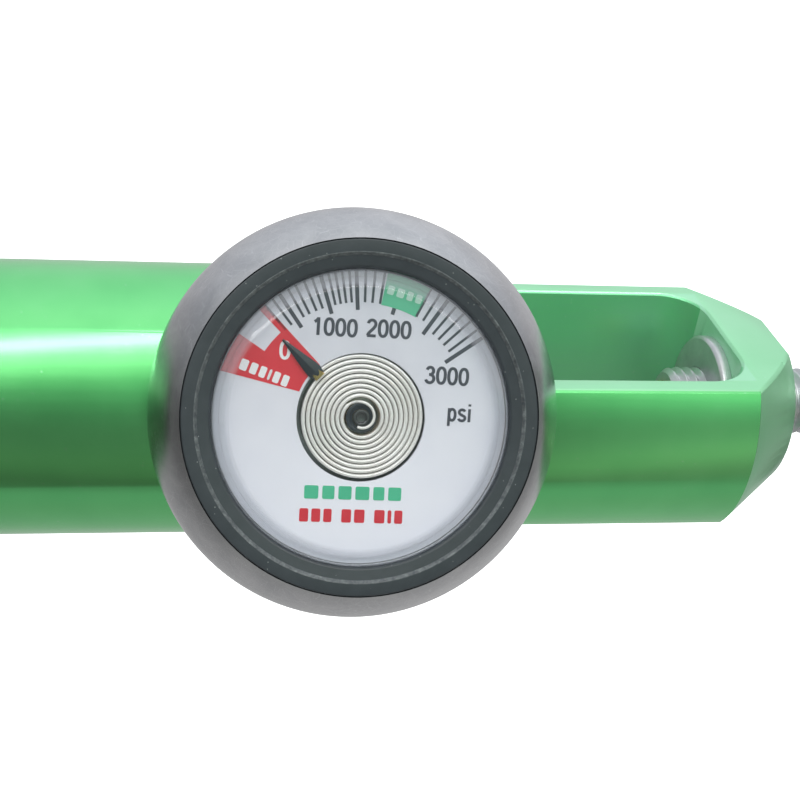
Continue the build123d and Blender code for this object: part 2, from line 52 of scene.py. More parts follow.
# ------------------------------------------------------------------ frame of the gauge
GX = -20.4
EX = Vector((1, 0, 0))
EY = Vector((0, 0.5, math.sqrt(3) / 2))
EG = Vector((0, -math.sqrt(3) / 2, 0.5))
G0 = Vector((GX, 0, 0))


def gp(u, v, h):
    """Point at u across, v up and h along the gauge axis, in metres."""
    return (G0 + EX * u + EY * v + EG * h) * MM


def gr(r, th, h):
    """Point at radius r and angle th (degrees clockwise from up) on the gauge."""
    a = math.radians(th)
    return gp(r * math.sin(a), r * math.cos(a), h)


# ------------------------------------------------------------------ camera
cam_data = bpy.data.cameras.new("camera")
cam = bpy.data.objects.new("camera", cam_data)
scene.collection.objects.link(cam)
cam_data.sensor_width = 36
cam_data.lens = 47.731
cam_data.clip_start = 0.005
cam_data.clip_end = 50
cam.matrix_world = Matrix((
    (0.990423, -0.005062, -0.137975, -0.032453),
    (-0.112094, 0.553946, -0.824972, -0.127836),
    (0.080607, 0.832537, 0.548073, 0.084658),
    (0, 0, 0, 1)))
scene.camera = cam
scene.view_settings.view_transform = "Standard"
scene.view_settings.look = "None"


# ------------------------------------------------------------------ node helper
class Tree:
    """Short way to write shader nodes: t("Kind", {input: value or socket}, prop=value)."""

    def __init__(self, tree):
        self.tree = tree
        tree.nodes.clear()

    def __call__(self, kind, ins=None, **props):
        n = self.tree.nodes.new("ShaderNode" + kind)
        for k, v in props.items():
            setattr(n, k, v)
        for k, v in (ins or {}).items():
            s = n.inputs[k]
            if isinstance(v, bpy.types.NodeSocket):
                self.tree.links.new(v, s)
            else:
                s.default_value = v
        return n

    def math(self, op, a, b=0.0, c=0.0, clamp=False):
        n = self("Math", {0: a, 1: b, 2: c}, operation=op)
        n.use_clamp = clamp
        return n.outputs[0]

    def ramp(self, fac, stops, interp="LINEAR"):
        n = self("ValToRGB", {0: fac})
        cr = n.color_ramp
        cr.interpolation = interp
        while len(cr.elements) > 1:
            cr.elements.remove(cr.elements[-1])
        cr.elements[0].position = stops[0][0]
        cr.elements[0].color = col(stops[0][1])
        for p, c in stops[1:]:
            e = cr.elements.new(p)
            e.color = col(c)
        return n.outputs[0]

    def mix(self, fac, a, b, mode="MIX"):
        n = self("Mix", {}, data_type="RGBA", blend_type=mode)
        for s, v in ((n.inputs[0], fac), (n.inputs[6], a), (n.inputs[7], b)):
            if isinstance(v, bpy.types.NodeSocket):
                self.tree.links.new(v, s)
            else:
                s.default_value = col(v) if s.type == "RGBA" else v
        return n.outputs[2]

    def coords(self, scale=(1000, 1000, 1000), rot=(0, 0, 0), loc=(0, 0, 0)):
        """Object coordinates in millimetres."""
        c = self("TexCoord").outputs["Object"]
        return self("Mapping", {"Vector": c, "Scale": scale, "Rotation": rot, "Location": loc}).outputs[0]

    def noise(self, vec, scale=1.0, detail=3.0, rough=0.5, dist=0.0):
        return self("TexNoise", {"Vector": vec, "Scale": scale, "Detail": detail, "Roughness": rough, "Distortion": dist}).outputs["Fac"]


def col(c):
    if isinstance(c, (int, float)):
        return (c, c, c, 1)
    return tuple(c) + ((1,) if len(c) == 3 else ())


def axis_coords(t, axis, origin):
    """Distance along an axis and radius from it, in millimetres."""
    p = t("TexCoord").outputs["Object"]
    d = t("VectorMath", {0: p, 1: Vector(origin) * MM}, operation="SUBTRACT").outputs[0]
    h = t("VectorMath", {0: d, 1: axis}, operation="DOT_PRODUCT").outputs["Value"]
    along = t("VectorMath", {0: axis, "Scale": h}, operation="SCALE").outputs[0]
    radial = t("VectorMath", {0: d, 1: along}, operation="SUBTRACT").outputs[0]
    r = t("VectorMath", {0: radial}, operation="LENGTH").outputs["Value"]
    return t.math("MULTIPLY", h, 1000.0), t.math("MULTIPLY", r, 1000.0), radial


def finish_mat(t, color, rough, metallic=0.0, bump=None, bump_mm=0.01, **extra):
    ins = {"Base Color": color if isinstance(color, bpy.types.NodeSocket) else col(color), "Roughness": rough, "Metallic": metallic}
    if bump is not None:
        ins["Normal"] = t("Bump", {"Height": bump, "Strength": 1.0, "Distance": bump_mm * MM}).outputs[0]
    ins.update(extra)
    b = t("BsdfPrincipled", ins)
    t("OutputMaterial", {0: b.outputs[0]})
    return b


def material(name):
    m = bpy.data.materials.new(name)
    m.use_nodes = True
    return m, Tree(m.node_tree)


# ------------------------------------------------------------------ materials
MAT = {}


def anodised():
    m, t = material("green_anodised")
    v = t.coords()
    # bead-blasted grain under a dyed oxide layer, with soft cloudy variation and faint drag marks along the bar
    cloud = t.noise(v, 0.10, 3)
    fine = t.noise(v, 7.0, 2, 0.6)
    drag = t.noise(t.coords((160, 2600, 2600)), 1.0, 2, 0.5)
    base = t.ramp(cloud, [(0.30, (0.190, 0.760, 0.265)), (0.55, (0.215, 0.815, 0.290)), (0.75, (0.240, 0.840, 0.315))])
    base = t.mix(t.math("MULTIPLY", fine, 0.22), base, (0.15, 0.62, 0.25))
    speck = t.noise(v, 2.2, 1)
    base = t.mix(t.math("MULTIPLY", t.math("GREATER_THAN", speck, 0.765), 0.35), base, (0.60, 0.92, 0.70))
    rough = t.math("ADD", t.math("MULTIPLY", cloud, 0.08), t.math("ADD", t.math("MULTIPLY", drag, 0.06), 0.17))
    # the milled pocket of the yoke is duller and a little paler than the turned outside
    sx = t("SeparateXYZ", {0: v})
    pocket = t.math("MULTIPLY", t.math("LESS_THAN", t.math("ABSOLUTE", sx.outputs[1]), 12.55),
                    t.math("MULTIPLY", t.math("GREATER_THAN", sx.outputs[0], -2.45), t.math("LESS_THAN", sx.outputs[0], 35.7)))
    mill = t.noise(t.coords((350, 350, 2600)), 1.0, 3, 0.6)
    base = t.mix(t.math("MULTIPLY", pocket, t.math("ADD", 0.45, t.math("MULTIPLY", mill, 0.3))), base, (0.24, 0.66, 0.42))
    rough = t.math("ADD", rough, t.math("MULTIPLY", pocket, 0.16))
    # the milled flats and the turned end cone took the dye more thinly
    flat = t.math("MULTIPLY", t.math("GREATER_THAN", t.math("ABSOLUTE", sx.outputs[2]), 11.38), t.math("GREATER_THAN", sx.outputs[0], -2.6))
    pale = t.math("MAXIMUM", flat, t.math("GREATER_THAN", sx.outputs[0], 35.25))
    base = t.mix(t.math("MULTIPLY", pale, t.math("ADD", 0.42, t.math("MULTIPLY", cloud, 0.25))), base, (0.50, 0.84, 0.64))
    rough = t.math("ADD", rough, t.math("MULTIPLY", pale, 0.08))
    h = t.math("ADD", t.math("MULTIPLY", fine, 0.5), t.math("MULTIPLY", drag, 0.5))
    metal = t.math("SUBTRACT", 0.93, t.math("ADD", t.math("MULTIPLY", pocket, 0.30), t.math("MULTIPLY", pale, 0.22)), clamp=True)
    finish_mat(t, base, rough, metal, h, 0.0035, **{"Coat Weight": 0.30, "Coat Roughness": 0.14, "Coat IOR": 1.5})
    return m


def turned(name, base, base2, rough, axis, origin, metallic=1.0, ring=3.0, bump_mm=0.003, spots=0.25):
    """Machined metal: fine rings left by turning round an axis, soft tarnish clouds."""
    m, t = material(name)
    h, r, radial = axis_coords(t, axis, origin)
    ringv = t("CombineXYZ", {0: t.math("MULTIPLY", h, ring), 1: t.math("MULTIPLY", r, ring), 2: 0.0}).outputs[0]
    rings = t.noise(ringv, 2.0, 4, 0.65)
    cloud = t.noise(t.coords(), 0.35, 4, 0.6)
    c = t.mix(t.ramp(cloud, [(0.35, 0.0), (0.7, 1.0)]), base, base2)
    c = t.mix(t.math("MULTIPLY", rings, spots), c, tuple(0.72 * x for x in base))
    ro = t.math("ADD", t.math("MULTIPLY", rings, 0.14), t.math("ADD", t.math("MULTIPLY", cloud, 0.06), rough - 0.09))
    finish_mat(t, c, ro, metallic, rings, bump_mm)
    return m


def cup_steel():
    m, t = material("polished_steel")
    h, r, radial = axis_coords(t, EG, G0)
    ringv = t("CombineXYZ", {0: t.math("MULTIPLY", h, 5.0), 1: t.math("MULTIPLY", r, 2.0), 2: 0.0}).outputs[0]
    rings = t.noise(ringv, 1.2, 3, 0.6)
    v = t.coords()
    # drawn and buffed sheet: long soft streaks round the cup and a few small scuffs
    streak = t.noise(t("Mapping", {"Vector": v, "Scale": (0.5, 0.5, 0.5)}).outputs[0], 0.5, 5, 0.62, 0.6)
    scuff = t("TexVoronoi", {"Vector": v, "Scale": 0.9, "Randomness": 1.0}, feature="DISTANCE_TO_EDGE").outputs["Distance"]
    scuff = t.math("LESS_THAN", scuff, 0.012)
    c = t.mix(t.ramp(streak, [(0.3, 0.0), (0.7, 1.0)]), (0.50, 0.505, 0.52), (0.62, 0.62, 0.63))
    c = t.mix(t.math("MULTIPLY", scuff, 0.25), c, (0.9, 0.9, 0.92))
    ro = t.math("ADD", t.math("MULTIPLY", rings, 0.10), t.math("ADD", t.math("MULTIPLY", streak, 0.10), 0.14))
    finish_mat(t, c, ro, 1.0, rings, 0.002)
    return m


def satin_black():
    m, t = material("bezel_black")
    h, r, radial = axis_coords(t, EG, G0)
    v = t.coords()
    cloud = t.noise(v, 0.5, 4, 0.6)
    fine = t.noise(v, 9.0, 2, 0.6)
    c = t.mix(cloud, (0.025, 0.032, 0.039), (0.042, 0.052, 0.062))
    # settled dust and lint
    dust = t("TexVoronoi", {"Vector": v, "Scale": 1.6, "Randomness": 1.0}, feature="F1")
    near = t.math("LESS_THAN", dust.outputs["Distance"], 0.085)
    some = t.math("GREATER_THAN", t("SeparateColor", {0: dust.outputs["Color"]}).outputs[0], 0.72)
    c = t.mix(t.math("MULTIPLY", t.math("MULTIPLY", near, some), 0.55), c, (0.55, 0.60, 0.60))
    ro = t.math("ADD", t.math("MULTIPLY", cloud, 0.14), 0.36)
    finish_mat(t, c, ro, 0.0, fine, 0.006, **{"Specular IOR Level": 0.62})
    return m


def bezel_line():
    m, t = material("bezel_edge_wear")
    v = t.coords()
    n = t.noise(v, 1.4, 4, 0.7)
    c = t.ramp(n, [(0.35, (0.07, 0.08, 0.09)), (0.55, (0.13, 0.145, 0.155)), (0.75, (0.24, 0.26, 0.27))])
    finish_mat(t, c, t.math("ADD", t.math("MULTIPLY", n, 0.2), 0.32), 0.2, n, 0.003)
    return m


def lens():
    """Clear polycarbonate, seen as a thin clear body: most light passes straight, edges and gloss reflect."""
    m, t = material("clear_lens")
    h, r, radial = axis_coords(t, EG, G0)
    haze = t.noise(t.coords(), 0.8, 4, 0.65)
    shoulder = t("MapRange", {"Value": r, "From Min": 14.5, "From Max": 15.1, "To Min": 0.0, "To Max": 1.0}).outputs[0]
    tint = t.mix(shoulder, (0.985, 0.987, 0.992), (0.93, 0.94, 0.95))
    clear = t("BsdfTransparent", {"Color": tint}).outputs[0]
    milk = t("BsdfDiffuse", {"Color": (0.72, 0.74, 0.82, 1)}).outputs[0]
    body = t("MixShader", {0: t.math("ADD", t.math("MULTIPLY", shoulder, 0.13), t.math("MULTIPLY", haze, 0.012)), 1: clear, 2: milk}).outputs[0]
    scratch = t.noise(t.coords((900, 300, 700)), 0.7, 5, 0.7)
    gloss = t("BsdfGlossy", {"Color": (1, 1, 1, 1), "Roughness": t.math("ADD", t.math("MULTIPLY", scratch, 0.02), 0.03)}).outputs[0]
    # the same reflectance on the way in and on the way out, because the light isn't bent inside
    facing = t("LayerWeight", {"Blend": 0.5}).outputs["Facing"]
    rim = t.math("ADD", 0.75, t.math("MULTIPLY", shoulder, 0.9))
    fac = t.math("ADD", 0.030, t.math("MULTIPLY", t.math("POWER", facing, t.math("SUBTRACT", 5.0, t.math("MULTIPLY", shoulder, 2.2))), rim), clamp=True)
    fac = t.math("MINIMUM", fac, 0.8)
    out = t("MixShader", {0: fac, 1: body, 2: gloss}).outputs[0]
    t("OutputMaterial", {0: out})
    return m


def printed_face(name, a, b, rough=0.42, grain=0.004, metallic=0.0):
    """Painted or printed sheet metal: light mottling, fine orange peel, tiny specks."""
    m, t = material(name)
    v = t.coords()
    cloud = t.noise(v, 0.28, 4, 0.55)
    fine = t.noise(v, 6.0, 3, 0.6)
    c = t.mix(t.ramp(cloud, [(0.3, 0.0), (0.72, 1.0)]), a, b)
    c = t.mix(t.math("MULTIPLY", fine, 0.10), c, tuple(0.8 * x for x in a))
    ro = t.math("ADD", t.math("MULTIPLY", cloud, 0.10), rough - 0.05)
    finish_mat(t, c, ro, metallic, fine, grain)
    return m


def dial_enamel():
    """White enamel on the dial plate, with painted shade that greys it towards the top, where the bezel rim shades it.
    """
    m, t = material("dial_face")
    v = t.coords()
    cloud = t.noise(v, 0.28, 4, 0.55)
    fine = t.noise(v, 6.0, 3, 0.6)
    up = t("VectorMath", {0: v, 1: EY}, operation="DOT_PRODUCT").outputs["Value"]
    mid = EY.dot(EG * 35.6)
    # painted shade: the enamel colour darkens from the lower rim to the top, standing in for the shadow of the bezel
    # rim
    painted_top_shade = t("MapRange", {"Value": t.math("SUBTRACT", up, mid), "From Min": -13.0, "From Max": 13.0, "To Min": 0.0, "To Max": 1.0}).outputs[0]
    c = t.mix(painted_top_shade, (0.86, 0.865, 0.955), (0.60, 0.605, 0.685))
    c = t.mix(t.math("MULTIPLY", t.ramp(cloud, [(0.3, 0.0), (0.72, 1.0)]), 0.25), c, (0.90, 0.905, 0.96))
    c = t.mix(t.math("MULTIPLY", fine, 0.08), c, (0.60, 0.61, 0.68))
    finish_mat(t, c, t.math("ADD", t.math("MULTIPLY", cloud, 0.10), 0.36), 0.0, fine, 0.003)
    return m


def rubber(name, a, b, rough=0.6):
    m, t = material(name)
    v = t.coords()
    cloud = t.noise(v, 0.6, 4, 0.6)
    fine = t.noise(v, 5.0, 4, 0.65)
    c = t.mix(cloud, a, b)
    finish_mat(t, c, t.math("ADD", t.math("MULTIPLY", fine, 0.15), rough - 0.07), 0.0, fine, 0.012)
    return m


def moulded(name, a, b, rough=0.45):
    """Moulded plastic with a fine spark-eroded texture and polished high spots."""
    m, t = material(name)
    v = t.coords()
    cloud = t.noise(v, 0.22, 3, 0.55)
    spark = t("TexVoronoi", {"Vector": v, "Scale": 3.2, "Randomness": 1.0}, feature="SMOOTH_F1").outputs["Distance"]
    fine = t.noise(v, 8.0, 3, 0.6)
    hgt = t.math("ADD", t.math("MULTIPLY", spark, 0.7), t.math("MULTIPLY", fine, 0.3))
    edge = t("NewGeometry").outputs["Pointiness"]
    wear = t("MapRange", {"Value": edge, "From Min": 0.52, "From Max": 0.62, "To Min": 0.0, "To Max": 0.35}).outputs[0]
    c = t.mix(cloud, a, b)
    c = t.mix(wear, c, tuple(min(1, 0.12 + 1.6 * x) for x in a))
    finish_mat(t, c, t.math("ADD", t.math("MULTIPLY", cloud, 0.12), rough - 0.06), 0.0, hgt, 0.012)
    return m


def cast_handle():
    """Satin die-cast metal handle with a slightly rippled skin."""
    m, t = material("handle_metal")
    v = t.coords()
    cloud = t.noise(v, 0.16, 4, 0.55)
    ripple = t.noise(v, 0.9, 4, 0.5)
    fine = t.noise(v, 6.5, 2, 0.6)
    c = t.mix(t.ramp(cloud, [(0.3, 0.0), (0.7, 1.0)]), (0.50, 0.51, 0.53), (0.66, 0.67, 0.69))
    c = t.mix(t.math("MULTIPLY", fine, 0.2), c, (0.36, 0.37, 0.39))
    h = t.math("ADD", t.math("MULTIPLY", ripple, 0.7), t.math("MULTIPLY", fine, 0.3))
    finish_mat(t, c, t.math("ADD", t.math("MULTIPLY", cloud, 0.12), 0.26), 1.0, h, 0.02)
    return m


AX = Vector((1, 0, 0))
KNOB_ZERO = 60
O = Vector((0, 0, 0))
BARB = Vector((0, math.cos(math.radians(15)), -math.sin(math.radians(15))))

MAT["green_anodised"] = anodised()
MAT["brass"] = turned("brass", (0.80, 0.56, 0.24), (0.70, 0.46, 0.18), 0.26, AX, O)
MAT["brass_radial"] = turned("brass_radial", (0.80, 0.57, 0.26), (0.69, 0.46, 0.18), 0.26, BARB, Vector((-66.5, 0, 0)))
MAT["sintered_bronze"] = rubber("sintered_bronze", (0.34, 0.20, 0.09), (0.55, 0.34, 0.16), 0.7)
MAT["plated_steel"] = turned("plated_steel", (0.66, 0.68, 0.70), (0.55, 0.57, 0.59), 0.30, AX, O, metallic=0.72)
MAT["polished_steel"] = cup_steel()
MAT["shaft_steel"] = turned("shaft_steel", (0.62, 0.62, 0.63), (0.50, 0.50, 0.52), 0.24, AX, O)
MAT["spring_steel"] = turned("spring_steel", (0.55, 0.54, 0.52), (0.42, 0.40, 0.38), 0.30, AX, O)
MAT["coil_bronze"] = turned("coil_bronze", (0.95, 0.94, 0.93), (0.90, 0.88, 0.85), 0.26, EG, G0, metallic=0.35, bump_mm=0.0015, spots=0.10)
MAT["post_dark"] = turned("post_dark", (0.17, 0.17, 0.18), (0.10, 0.10, 0.11), 0.34, EG, G0, spots=0.2)
MAT["handle_metal"] = cast_handle()
MAT["piston_aluminium"] = turned("piston_aluminium", (0.78, 0.79, 0.80), (0.66, 0.67, 0.69), 0.28, AX, O)
MAT["cap_aluminium"] = turned("cap_aluminium", (0.74, 0.75, 0.76), (0.62, 0.63, 0.65), 0.27, AX, O)
MAT["knob_plastic"] = moulded("knob_plastic", (0.022, 0.023, 0.025), (0.036, 0.037, 0.040), 0.44)
MAT["bezel_black"] = satin_black()
MAT["bezel_edge"] = bezel_line()
MAT["clear_lens"] = lens()
MAT["dial_face"] = dial_enamel()
MAT["scale_face"] = printed_face("scale_face", (0.78, 0.79, 0.80), (0.84, 0.85, 0.86), 0.40, 0.003)
MAT["pointer_black"] = printed_face("pointer_black", (0.016, 0.021, 0.030), (0.030, 0.036, 0.048), 0.30, 0.003)
MAT["inner_plastic"] = moulded("inner_plastic", (0.12, 0.12, 0.125), (0.17, 0.17, 0.18), 0.5)
MAT["seal_rubber"] = rubber("seal_rubber", (0.020, 0.020, 0.021), (0.040, 0.040, 0.042), 0.62)
MAT["ink_dark"] = printed_face("ink_dark", (0.040, 0.042, 0.062), (0.062, 0.064, 0.090), 0.45, 0.002)
MAT["ink_red"] = printed_face("ink_red", (0.62, 0.020, 0.038), (0.70, 0.030, 0.050), 0.42, 0.002)
MAT["ink_green"] = printed_face("ink_green", (0.055, 0.46, 0.26), (0.075, 0.52, 0.30), 0.45, 0.002)
MAT["ink_block"] = printed_face("ink_block", (0.085, 0.47, 0.28), (0.11, 0.52, 0.31), 0.45, 0.002)
MAT["ink_white"] = printed_face("ink_white", (0.80, 0.80, 0.84), (0.86, 0.86, 0.88), 0.42, 0.002)
MAT["ink_pale"] = printed_face("ink_pale", (0.45, 0.72, 0.60), (0.52, 0.76, 0.65), 0.45, 0.002)


def dress_mat(o, name):
    o.data.materials.clear()
    o.data.materials.append(MAT[name])


SLOT = {p["node"]: p["material_slot"] for p in frame["record"]["subparts"]}
for n, o in frame["nodes"].items():
    dress_mat(o, SLOT[n] if SLOT[n] in MAT else "plated_steel")
for n in ("outlet_barb", "relief_body", "relief_cap", "relief_poppet"):
    dress_mat(frame["nodes"][n], "brass_radial")


# ------------------------------------------------------------------ mesh helpers
def piece(name, mesh, body, slot, mat=None, replaces=(), smooth=32):
    o = bpy.data.objects.new(name, mesh)
    scene.collection.objects.link(o)
    if not mesh.materials:
        mesh.materials.append(MAT[mat or slot])
    if smooth:
        mesh.shade_smooth()
        mesh.set_sharp_from_angle(angle=math.radians(smooth))
    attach(o, body)
    if replaces:
        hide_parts(*replaces)
    return o


def body_of(node):
    for b, members in frame["record"]["behaviour"]["bodies"].items():
        if node in members:
            return b
    return "root"


def rounded(profile, rad, closed=True, steps=3):
    """Rounds each corner of an (r, h) polyline by about rad millimetres."""
    out = []
    n = len(profile)
    for i, p in enumerate(profile):
        p = Vector(p)
        if not closed and i in (0, n - 1):
            out.append(p)
            continue
        a, b = Vector(profile[i - 1]), Vector(profile[(i + 1) % n])
        da, db = (a - p), (b - p)
        k = min(rad, da.length * 0.42, db.length * 0.42)
        if k < 0.01 or p[0] < 1e-6 or da.angle(db, math.pi) > math.radians(172):
            out.append(p)
            continue
        s, e = p + da.normalized() * k, p + db.normalized() * k
        for j in range(steps + 1):
            t = j / steps
            out.append(s * (1 - t) ** 2 + p * (2 * t * (1 - t)) + e * t ** 2)
    return [(float(v[0]), float(v[1])) for v in out]


def lathe(name, profile, origin, axis, across, segs=192, closed=True):
    """Turns an (r, h) profile in millimetres round an axis."""
    axis, across = Vector(axis).normalized(), Vector(across).normalized()
    side = axis.cross(across)
    bm = bmesh.new()
    rings = []
    for r, h in profile:
        c = Vector(origin) + axis * h
        if r < 1e-5:
            rings.append([bm.verts.new(c * MM)])
        else:
            rings.append([bm.verts.new((c + across * (r * math.cos(2 * math.pi * k / segs)) + side * (r * math.sin(2 * math.pi * k / segs))) * MM)
                          for k in range(segs)])
    pairs = list(zip(rings, rings[1:])) + ([(rings[-1], rings[0])] if closed else [])
    for a, b in pairs:
        if len(a) == 1 and len(b) == 1:
            continue
        for k in range(segs):
            k2 = (k + 1) % segs
            vs = [a[k % len(a)], a[k2 % len(a)], b[k2 % len(b)], b[k % len(b)]]
            vs = [v for i, v in enumerate(vs) if v not in vs[:i]]
            if len(vs) > 2:
                bm.faces.new(vs)
    bmesh.ops.recalc_face_normals(bm, faces=bm.faces)
    me = bpy.data.meshes.new(name)
    bm.to_mesh(me)
    bm.free()
    return me


def prism(bm, pts, h0, h1, mat=0):
    """A thin printed or cut shape on the gauge: pts are (u, v) in millimetres, anticlockwise."""
    lo = [bm.verts.new(gp(u, v, h0)) for u, v in pts]
    hi = [bm.verts.new(gp(u, v, h1)) for u, v in pts]
    n = len(pts)
    fs = [bm.faces.new(hi), bm.faces.new(lo[::-1])]
    for i in range(n):
        j = (i + 1) % n
        fs.append(bm.faces.new((lo[i], lo[j], hi[j], hi[i])))
    for f in fs:
        f.material_index = mat
    return fs


def to_mesh(name, bm, mats):
    bmesh.ops.recalc_face_normals(bm, faces=bm.faces)
    me = bpy.data.meshes.new(name)
    bm.to_mesh(me)
    bm.free()
    for m in mats:
        me.materials.append(MAT[m])
    return me


def pol(r, th):
    a = math.radians(th)
    return (r * math.sin(a), r * math.cos(a))


def arc(r, a, b, n):
    return [pol(r, a + (b - a) * i / n) for i in range(n + 1)]


def edged(node, width=0.12, angle=30, segs=2, mat=None, name=None):
    """A finished copy of a machined or moulded CAD piece with softly rounded edges."""
    src = frame["nodes"][node]
    bm = bmesh.new()
    bm.from_mesh(src.data)
    bmesh.ops.remove_doubles(bm, verts=bm.verts, dist=2e-6)
    bmesh.ops.dissolve_limit(bm, angle_limit=math.radians(0.4), verts=bm.verts, edges=bm.edges, delimit=set())
    hard = [e for e in bm.edges if len(e.link_faces) == 2 and e.calc_face_angle(0) > math.radians(angle)]
    bmesh.ops.bevel(bm, geom=hard, offset=width * MM, offset_type="OFFSET", segments=segs, profile=0.5, affect="EDGES", clamp_overlap=True)
    bmesh.ops.dissolve_degenerate(bm, dist=1e-7, edges=bm.edges)
    me = bpy.data.meshes.new(name or node + "_finished")
    bm.to_mesh(me)
    bm.free()
    me.materials.append(MAT[mat or SLOT[node]])
    return piece(name or node + "_finished", me, body_of(node), SLOT[node], replaces=(node,), smooth=28)


# ------------------------------------------------------------------ gauge: bezel, lens, dial
bezel = rounded([(16.55, 34.5), (19.69, 34.5), (19.69, 37.70), (19.58, 37.78), (18.22, 37.77), (17.98, 37.50), (16.80, 37.32), (16.55, 37.1)], 0.08)
piece("gauge_bezel_ring", lathe("gauge_bezel_ring", bezel, G0, EG, EX, 256), "root", "bezel_black", replaces=("gauge_bezel",))
# worn bright step on the ring
step = [(17.93, 37.50), (18.02, 37.60), (18.13, 37.72), (18.24, 37.80), (18.32, 37.80), (18.32, 37.70), (18.02, 37.40)]
piece("gauge_bezel_step", lathe("gauge_bezel_step", step, G0, EG, EX, 256), "root", "bezel_black", mat="bezel_edge")

lens_prof = rounded([(15.7, 35.68), (16.5, 35.68), (16.5, 37.0), (16.2, 37.5), (14.98, 38.24), (14.42, 38.5), (10.0, 38.6), (0, 38.6), (0, 36.9), (14.6, 36.9),
                     (15.7, 36.2)], 0.12)
piece("gauge_window", lathe("gauge_window", lens_prof, G0, EG, EX, 256), "root", "clear_lens", replaces=("gauge_lens",), smooth=20)

face = rounded([(7.2, 35.0), (16.45, 35.0), (16.45, 35.6), (7.2, 35.6)], 0.1)
piece("dial_plate_face", lathe("dial_plate_face", face, G0, EG, EX, 192), "root", "dial_face", replaces=("dial_plate",))

INK0, INK1 = 35.595, 35.625
bm = bmesh.new()
ticks = [(-41.0, 0), (-37.3, 0), (-34.0, 2), (-30.2, 0), (-27.0, 0), (-23.3, 0), (-20.0, 0), (-16.5, 2), (-13.5, 0), (-10.8, 0), (-8.1, 0), (-5.3, 0), (-2.5, 2),
         (1.2, 0), (4.9, 0), (8.7, 0), (28.0, 0), (32.0, 0), (36.0, 3), (40.1, 1), (44.2, 1), (48.2, 1), (52.5, 1), (56.3, 4)]
inner = {0: 12.85, 1: 12.3, 2: 12.0, 3: 11.6, 4: 11.3}
for th, kind in ticks:
    w = 0.14 if kind in (0, 1) else 0.22
    a = math.radians(th)
    d, s = Vector((math.sin(a), math.cos(a))), Vector((math.cos(a), -math.sin(a)))
    r0, r1 = inner[kind], 16.35
    q = [d * r0 - s * w, d * r0 + s * w, d * r1 + s * w, d * r1 - s * w]
    prism(bm, [tuple(x) for x in q][::-1], INK0, INK1)
a = math.radians(16.2)
d, s = Vector((math.sin(a), math.cos(a))), Vector((math.cos(a), -math.sin(a)))
prism(bm, [tuple(x) for x in (d * 12.0 - s * .22, d * 12.0 + s * .22, d * 12.75 + s * .22, d * 12.75 - s * .22)][::-1], INK0, INK1)
piece("dial_scale_marks", to_mesh("dial_scale_marks", bm, ["ink_dark"]), "root", "dial_face", smooth=0)

bm = bmesh.new()
# empty-bottle sector with its notch
out = arc(16.35, -71.7, -55.75, 12) + arc(13.0, -55.75, -43.75, 8) + arc(16.35, -43.75, -40.9, 3) + arc(7.5, -38.4, -67.3, 18)
prism(bm, out[::-1], INK0, INK1)
piece("dial_red_sector", to_mesh("dial_red_sector", bm, ["ink_red"]), "root", "dial_face", smooth=0)

bm = bmesh.new()
block = arc(16.35, 9.9, 28.0, 12) + arc(12.75, 28.0, 9.4, 10)
prism(bm, block[::-1], INK0, INK1)
piece("dial_green_block", to_mesh("dial_green_block", bm, ["ink_block"]), "root", "dial_face", smooth=0)


def bars(name, cu, cv, width, height, tilt, mat, gaps, top=INK1):
    """A line of small plain bars in place of lettering."""
    bm = bmesh.new()
    c, s = math.cos(math.radians(tilt)), math.sin(math.radians(tilt))
    total = sum(abs(g) for g in gaps) + 0.42 * (len(gaps) - 1)
    k = width / total
    x = -width / 2
    for g in gaps:
        x1 = x + abs(g) * k
        if g < 0:
            x = x1 + 0.42 * k
            continue
        n = 4
        hh = height / 2
        rr = min(0.18, hh * 0.6)
        pts = []
        for qx, qy, a0 in ((x1 - rr, -hh + rr, -90), (x1 - rr, hh - rr, 0), (x + rr, hh - rr, 90), (x + rr, -hh + rr, 180)):
            for i in range(n + 1):
                aa = math.radians(a0 + 90 * i / n)
                px, py = qx + rr * math.cos(aa), qy + rr * math.sin(aa)
                pts.append((cu + px * c - py * s, cv + px * s + py * c))
        prism(bm, pts, top - 0.025, top + 0.012)
        x = x1 + 0.42 * k
    piece(name, to_mesh(name, bm, [mat]), "root", "dial_face", smooth=0)


bars("dial_note_green", -0.83, -8.45, 10.9, 1.5, -2, "ink_green", [1.5, 1.3, 1.4, 1.5, 1.2, 1.4])
bars("dial_note_red", -1.02, -11.04, 11.6, 1.5, -2, "ink_red", [1.2, 1.2, 1.1, -0.5, 1.3, 1.4, -0.5, 1.4, 0.5, 1.1])
bars("dial_note_white", -10.75, 4.95, 5.6, 1.25, -21, "ink_white", [1.2, 1.1, 1.0, 0.4, 1.0, 1.0], INK1 + 0.02)
bars("dial_note_block", *pol(14.55, 18.9), 4.0, 1.0, -17, "ink_pale", [1.0, 1.1, 0.9, 0.9], INK1 + 0.02)


